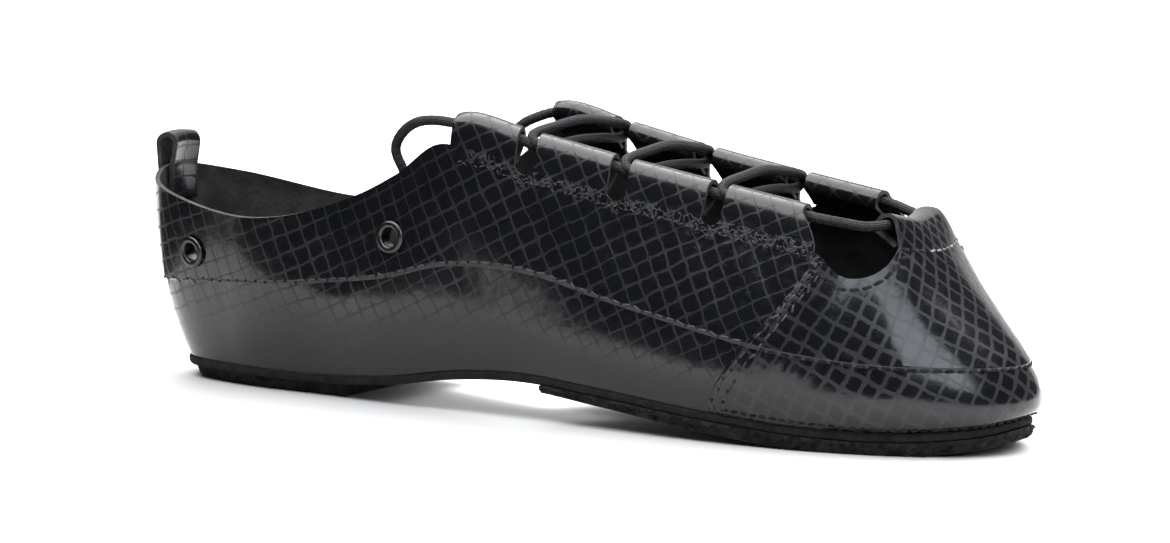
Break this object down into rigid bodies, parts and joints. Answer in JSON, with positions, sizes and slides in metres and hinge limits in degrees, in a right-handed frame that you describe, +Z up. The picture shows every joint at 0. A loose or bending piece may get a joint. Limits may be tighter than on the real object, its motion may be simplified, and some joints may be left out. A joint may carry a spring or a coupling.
{
  "type": "irish dance pump",
  "caption": "Soft leather laced dance shoe for the right foot, open at collar and throat, with folded lace tunnels, split suede sole and a heel pull loop.",
  "frame": {"origin": "centre of the shoe's box without the free lace ends, on the floor under the sole", "axes": "+X from heel to toe, +Y to the medial side (the wearer's left), +Z up"},
  "size_m": [0.2417, 0.0732, 0.0734],
  "materials": {
    "upper_leather": "glossy black leather embossed with a scale grain",
    "board_leather": "plain black leather edge",
    "suede": "napped black suede",
    "lining": "matt dark lining",
    "eyelet_metal": "black painted metal",
    "lace_cord": "waxed round braided cord"
  },
  "bodies": {
    "root": {"upper": "upper_leather", "heel_loop": "upper_leather", "bottom_board": "board_leather", "forefoot_sole": "suede", "heel_sole": "suede", "insole": "lining", "eyelet_front_lateral": "eyelet_metal", "eyelet_front_medial": "eyelet_metal", "eyelet_rear_lateral": "eyelet_metal", "eyelet_rear_medial": "eyelet_metal", "lace": "lace_cord", "lace_end_lateral": "lace_cord", "lace_end_medial": "lace_cord"}
  },
  "joints": []
}
